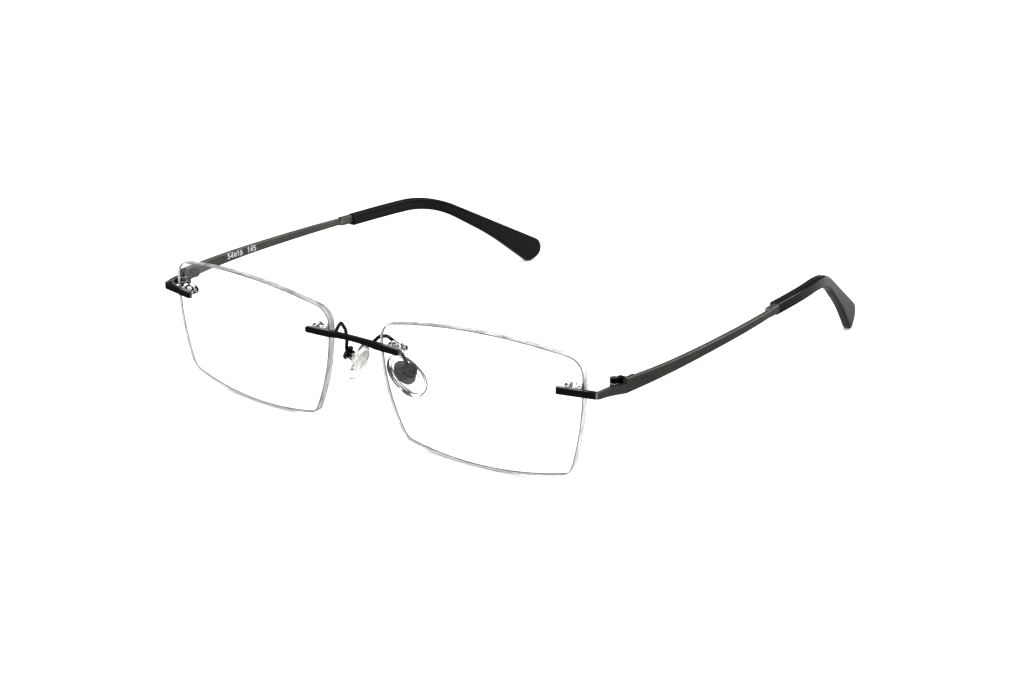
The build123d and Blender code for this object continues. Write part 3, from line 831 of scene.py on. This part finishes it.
def silicone_material():
    """Clear moulded silicone, a little soft in its shine."""
    material, tree, shader = start_material(
        "Clear silicone", Metallic=0.0, IOR=1.36, Transmission_Weight=1.0
    )
    marks = place_group(
        tree, handling_group(), Smear_size=260.0, Clean_roughness=0.05, Smeared_roughness=0.14
    )
    blend_colours(tree, marks.outputs["Specks"], colours().silicone, (0.86, 0.86, 0.84), shader)
    tree.links.new(marks.outputs["Roughness"], shader.inputs["Roughness"])
    return material


def clear_sleeve_material():
    """Clear moulded plastic of the post sleeves."""
    material, tree, shader = start_material(
        "Clear sleeve", Metallic=0.0, IOR=1.22, Transmission_Weight=1.0
    )
    marks = place_group(
        tree, handling_group(), Smear_size=500.0, Clean_roughness=0.02, Smeared_roughness=0.08
    )
    blend_colours(tree, marks.outputs["Specks"], (0.95, 0.96, 0.96), (0.85, 0.86, 0.86), shader)
    tree.links.new(marks.outputs["Roughness"], shader.inputs["Roughness"])
    return material


def satin_paint_material():
    """Satin black paint with a fine orange peel, thinner along the edges."""
    material, tree, shader = start_material("Satin black paint", Metallic=0.0, IOR=1.45)
    peel = place_group(
        tree, grain_group(), Stretch=(2600.0, 2600.0, 2600.0), Detail=2.0, Low=0.26, High=0.4
    )
    wear = place_group(tree, edge_wear_group(), Radius=0.00018, Amount=0.35)
    blend_colours(tree, wear.outputs["Mask"], colours().paint, colours().gunmetal, shader)
    tree.links.new(peel.outputs["Value"], shader.inputs["Roughness"])
    link_bump(tree, peel.outputs["Height"], shader, 0.12, 0.00003)
    return material


def endpiece_material():
    """Satin black paint on the front bar; past the bend the side is brushed dark metal."""
    material, tree, shader = start_material("Endpiece finish", IOR=1.45)
    place = add(tree, "ShaderNodeTexCoord")
    split = add(tree, "ShaderNodeSeparateXYZ")
    size = add(tree, "ShaderNodeMath", operation="ABSOLUTE")
    side = add(tree, "ShaderNodeMapRange", interpolation_type="SMOOTHSTEP")
    side.inputs["From Min"].default_value, side.inputs["From Max"].default_value = ENDPIECE_TURN
    peel = place_group(
        tree, grain_group(), Stretch=(2600.0, 2600.0, 2600.0), Detail=2.0, Low=0.24, High=0.38
    )
    links = tree.links
    links.new(place.outputs["Object"], split.inputs["Vector"])
    links.new(split.outputs["X"], size.inputs[0])
    links.new(size.outputs["Value"], side.inputs["Value"])
    blend_colours(tree, side.outputs["Result"], colours().paint, colours().titanium, shader)
    links.new(side.outputs["Result"], shader.inputs["Metallic"])
    links.new(peel.outputs["Value"], shader.inputs["Roughness"])
    link_bump(tree, peel.outputs["Height"], shader, 0.12, 0.00003)
    return material


def gunmetal_material():
    """Dark plated metal, brighter where it has rubbed along the edges."""
    material, tree, shader = start_material("Dark plated metal", Metallic=1.0)
    brush = place_group(
        tree, grain_group(), Stretch=(1500.0, 1500.0, 6000.0), Detail=3.0, Low=0.2, High=0.34
    )
    wear = place_group(tree, edge_wear_group(), Radius=0.00015, Amount=0.5)
    blend_colours(
        tree, wear.outputs["Mask"], colours().gunmetal, lighter(colours().gunmetal, 0.07), shader
    )
    tree.links.new(brush.outputs["Value"], shader.inputs["Roughness"])
    link_bump(tree, brush.outputs["Height"], shader, 0.1, 0.00002)
    return material


def brushed_titanium_material():
    """Dark titanium brushed along the temple, with edges rubbed a little brighter."""
    material, tree, shader = start_material("Brushed dark titanium", Metallic=1.0)
    brush = place_group(
        tree, grain_group(), Stretch=(9000.0, 160.0, 9000.0), Detail=4.0, Low=0.3, High=0.5
    )
    cloud = place_group(tree, grain_group(), Stretch=(240.0, 90.0, 240.0), Detail=2.0)
    wear = place_group(tree, edge_wear_group(), Radius=0.00018, Amount=0.35)
    mix = blend_colours(
        tree, wear.outputs["Mask"], colours().titanium, lighter(colours().titanium, 0.15), shader
    )
    tone = add(tree, "ShaderNodeMix", data_type="RGBA")
    darker = tuple(c * 0.78 for c in colours().titanium)
    tone.inputs["A"].default_value = (*darker, 1)
    tone.inputs["B"].default_value = (*colours().titanium, 1)
    tree.links.new(cloud.outputs["Value"], tone.inputs["Factor"])
    tree.links.new(tone.outputs["Result"], mix.inputs["A"])
    tree.links.new(brush.outputs["Value"], shader.inputs["Roughness"])
    link_bump(tree, brush.outputs["Height"], shader, 0.16, 0.00002)
    return material


def size_mark_material():
    """Pale filled marks with a slightly chalky surface."""
    material, tree, shader = start_material("Size mark", Metallic=0.0, IOR=1.45)
    chalk = place_group(
        tree, grain_group(), Stretch=(5000.0, 5000.0, 5000.0), Detail=3.0, Low=0.45, High=0.65
    )
    blend_colours(tree, chalk.outputs["Value"], colours().mark, lighter(colours().mark, 0.2), shader)
    tree.links.new(chalk.outputs["Value"], shader.inputs["Roughness"])
    return material


def turned_steel_material():
    """Bright turned steel of the screws and pad cores."""
    material, tree, shader = start_material("Turned steel", Metallic=1.0)
    turned = place_group(
        tree, grain_group(), Stretch=(2500.0, 2500.0, 9000.0), Detail=3.0, Low=0.16, High=0.3
    )
    wear = place_group(tree, edge_wear_group(), Radius=0.0001, Amount=0.4)
    blend_colours(tree, wear.outputs["Mask"], colours().steel, lighter(colours().steel, 0.3), shader)
    tree.links.new(turned.outputs["Value"], shader.inputs["Roughness"])
    link_bump(tree, turned.outputs["Height"], shader, 0.1, 0.00002)
    return material


def nylon_material():
    """Moulded nylon washers."""
    material, tree, shader = start_material("Moulded nylon", Metallic=0.0, IOR=1.53)
    haze = place_group(
        tree, grain_group(), Stretch=(1800.0, 1800.0, 1800.0), Detail=2.0, Low=0.42, High=0.6
    )
    blend_colours(
        tree, haze.outputs["Value"], colours().nylon, lighter(colours().nylon, 0.08), shader
    )
    tree.links.new(haze.outputs["Value"], shader.inputs["Roughness"])
    link_bump(tree, haze.outputs["Height"], shader, 0.1, 0.00002)
    return material


def polished_acetate_material():
    """Black polished acetate with faint smears."""
    material, tree, shader = start_material("Polished black acetate", Metallic=0.0, IOR=1.47)
    marks = place_group(
        tree, handling_group(), Smear_size=120.0, Clean_roughness=0.12, Smeared_roughness=0.2
    )
    blend_colours(
        tree, marks.outputs["Specks"], colours().acetate, lighter(colours().acetate, 0.02), shader
    )
    tree.links.new(marks.outputs["Roughness"], shader.inputs["Roughness"])
    return material


CAD_FINISHES = {
    "clear_sleeve": clear_sleeve_material,
    "black_paint": satin_paint_material,
    "gunmetal": gunmetal_material,
    "brushed_titanium": brushed_titanium_material,
    "steel": turned_steel_material,
    "washer": nylon_material,
    "black_acetate": polished_acetate_material,
}


class EYEGLASSES_OT_finish_metalwork(bpy.types.Operator):
    """Give the bars, hinges, wires, temples, tips and sleeves their finishes"""

    bl_idname = "eyeglasses.finish_metalwork"
    bl_label = "Finish Metalwork"

    def execute(self, context):
        made = {slot: make() for slot, make in CAD_FINISHES.items()}
        endpiece = endpiece_material()
        for part in frame["record"]["subparts"]:
            node = frame["nodes"][part["node"]]
            material = made.get(part["material_slot"])
            if part["node"] in ("endpiece_left", "endpiece_right"):
                material = endpiece
            if material is None:
                continue
            for held in node.material_slots:
                held.material = material
        return {"FINISHED"}


# ---- stage -----------------------------------------------------------------------------
def reflection_mask(tree):
    """A socket that is 1 for light that a shiny surface reflects, straight or back through a lens."""
    path = add(tree, "ShaderNodeLightPath")
    straight = add(tree, "ShaderNodeMath", operation="MULTIPLY")
    crossed = add(tree, "ShaderNodeMath", operation="GREATER_THAN")
    crossed.inputs[1].default_value = 2.5
    reflected = add(tree, "ShaderNodeMath", operation="GREATER_THAN")
    reflected.inputs[1].default_value = 0.5
    behind_lens = add(tree, "ShaderNodeMath", operation="MULTIPLY")
    either = add(tree, "ShaderNodeMath", operation="MAXIMUM")
    links = tree.links
    links.new(path.outputs["Is Glossy Ray"], straight.inputs[0])
    links.new(path.outputs["Is Reflection Ray"], straight.inputs[1])
    links.new(path.outputs["Transmission Depth"], crossed.inputs[0])
    links.new(path.outputs["Glossy Depth"], reflected.inputs[0])
    links.new(crossed.outputs["Value"], behind_lens.inputs[0])
    links.new(reflected.outputs["Value"], behind_lens.inputs[1])
    links.new(straight.outputs["Value"], either.inputs[0])
    links.new(behind_lens.outputs["Value"], either.inputs[1])
    return either.outputs["Value"]


def floor_material(settings):
    """Pale floor, with a white card behind and a darker table round it in reflections."""
    material, tree, shader = start_material("Pale floor", Roughness=0.9, IOR=1.2)
    shader.inputs["Base Color"].default_value = (0.92, 0.92, 0.92, 1)
    place = add(tree, "ShaderNodeTexCoord")
    offset = add(tree, "ShaderNodeVectorMath", operation="SUBTRACT")
    offset.inputs[1].default_value = CARD_MIDDLE
    reach = add(tree, "ShaderNodeVectorMath", operation="LENGTH")
    card = add(tree, "ShaderNodeMapRange", interpolation_type="SMOOTHSTEP")
    card.inputs["From Min"].default_value, card.inputs["From Max"].default_value = CARD_FADE
    card.inputs["To Min"].default_value = settings.table_glow
    card.inputs["To Max"].default_value = settings.card_glow
    glow = add(tree, "ShaderNodeEmission")
    mirrored_rays = reflection_mask(tree)
    mix = add(tree, "ShaderNodeMixShader")
    leave = tree.nodes["Material Output"]
    links = tree.links
    links.new(place.outputs["Object"], offset.inputs[0])
    links.new(offset.outputs["Vector"], reach.inputs[0])
    links.new(reach.outputs["Value"], card.inputs["Value"])
    links.new(card.outputs["Result"], glow.inputs["Strength"])
    links.new(mirrored_rays, mix.inputs["Fac"])
    links.new(shader.outputs["BSDF"], mix.inputs[1])
    links.new(glow.outputs["Emission"], mix.inputs[2])
    links.new(mix.outputs["Shader"], leave.inputs["Surface"])
    return material


def world_light(settings):
    """White surround, dimmer in reflections so that dark finishes stay dark."""
    world = bpy.data.worlds.new("Studio surround")
    world.use_nodes = True
    tree = world.node_tree
    light = tree.nodes["Background"]
    light.inputs["Color"].default_value = (1, 1, 1, 1)
    strength = add(tree, "ShaderNodeMix", data_type="FLOAT")
    strength.inputs["A"].default_value = settings.surround
    strength.inputs["B"].default_value = settings.dim_surround
    tree.links.new(reflection_mask(tree), strength.inputs["Factor"])
    tree.links.new(strength.outputs["Result"], light.inputs["Strength"])
    bpy.context.scene.world = world


def softbox(name, place, target, size, power):
    """A rectangular softbox at a place, turned to a target."""
    lamp = bpy.data.lights.new(name, "AREA")
    lamp.shape = "RECTANGLE"
    lamp.size, lamp.size_y = size
    lamp.energy = power
    lamp_object = bpy.data.objects.new(name, lamp)
    lamp_object.location = place
    away = Vector(place) - Vector(target)
    lamp_object.rotation_euler = away.to_track_quat("Z", "Y").to_euler()
    bpy.context.scene.collection.objects.link(lamp_object)


class EYEGLASSES_OT_build_stage(bpy.types.Operator):
    """Set up the pale floor, the soft light and the camera"""

    bl_idname = "eyeglasses.build_stage"
    bl_label = "Build Stage"

    def execute(self, context):
        settings = context.scene.eyeglasses_stage
        half = settings.floor_width / 2
        mesh = bpy.data.meshes.new("floor")
        corners = [(-half, -half, 0), (half, -half, 0), (half, half, 0), (-half, half, 0)]
        mesh.from_pydata(corners, [], [(0, 1, 2, 3)])
        mesh.materials.append(floor_material(settings))
        floor = bpy.data.objects.new("floor", mesh)
        context.scene.collection.objects.link(floor)
        world_light(settings)
        softbox("overhead_softbox", (-0.1, 0.15, 0.9), (0, 0, 0), (0.7, 0.5), settings.key_power)
        softbox("rear_strip", (0.5, 0.9, 0.5), (0, 0, 0.02), (0.12, 0.9), settings.rim_power)
        camera = bpy.data.cameras.new("product_view")
        camera.lens = CAMERA_LENS
        camera.sensor_width = CAMERA_SENSOR
        camera.clip_start = 0.01
        eye = bpy.data.objects.new("product_view", camera)
        eye.location = CAMERA_PLACE
        eye.rotation_euler = (radians(90 - CAMERA_DOWN), 0, radians(CAMERA_ROUND))
        context.scene.collection.objects.link(eye)
        context.scene.camera = eye
        context.scene.view_settings.view_transform = "Standard"
        return {"FINISHED"}


# ---- panel and registration ------------------------------------------------------------
class EYEGLASSES_PT_sidebar(bpy.types.Panel):
    """Lists the build steps and their settings"""

    bl_idname = "EYEGLASSES_PT_sidebar"
    bl_label = "Eyeglasses"
    bl_space_type = "VIEW_3D"
    bl_region_type = "UI"
    bl_category = "Eyeglasses"

    def draw(self, context):
        for operator in OPERATORS:
            self.layout.operator(operator.bl_idname)
        for group in ("eyeglasses_sizes", "eyeglasses_colours", "eyeglasses_stage"):
            settings = getattr(context.scene, group)
            box = self.layout.box()
            for name in settings.bl_rna.properties.keys():
                if name not in ("rna_type", "name"):
                    box.prop(settings, name)


OPERATORS = (
    EYEGLASSES_OT_build_lenses,
    EYEGLASSES_OT_build_nose_pads,
    EYEGLASSES_OT_build_size_marks,
    EYEGLASSES_OT_finish_metalwork,
    EYEGLASSES_OT_build_stage,
)
SETTINGS = {
    "eyeglasses_sizes": EyeglassesSizes,
    "eyeglasses_colours": EyeglassesColours,
    "eyeglasses_stage": EyeglassesStage,
}


def register():
    """Register the settings, operators and panel."""
    for name, group in SETTINGS.items():
        bpy.utils.register_class(group)
        setattr(bpy.types.Scene, name, bpy.props.PointerProperty(type=group))
    for operator in OPERATORS:
        bpy.utils.register_class(operator)
    bpy.utils.register_class(EYEGLASSES_PT_sidebar)


def unregister():
    """Remove everything that register() added."""
    bpy.utils.unregister_class(EYEGLASSES_PT_sidebar)
    for operator in reversed(OPERATORS):
        bpy.utils.unregister_class(operator)
    for name, group in reversed(SETTINGS.items()):
        delattr(bpy.types.Scene, name)
        bpy.utils.unregister_class(group)


def main():
    """Build every piece and the stage."""
    register()
    bpy.ops.eyeglasses.build_lenses()
    bpy.ops.eyeglasses.build_nose_pads()
    bpy.ops.eyeglasses.build_size_marks()
    bpy.ops.eyeglasses.finish_metalwork()
    bpy.ops.eyeglasses.build_stage()


if __name__ == "__main__":
    main()
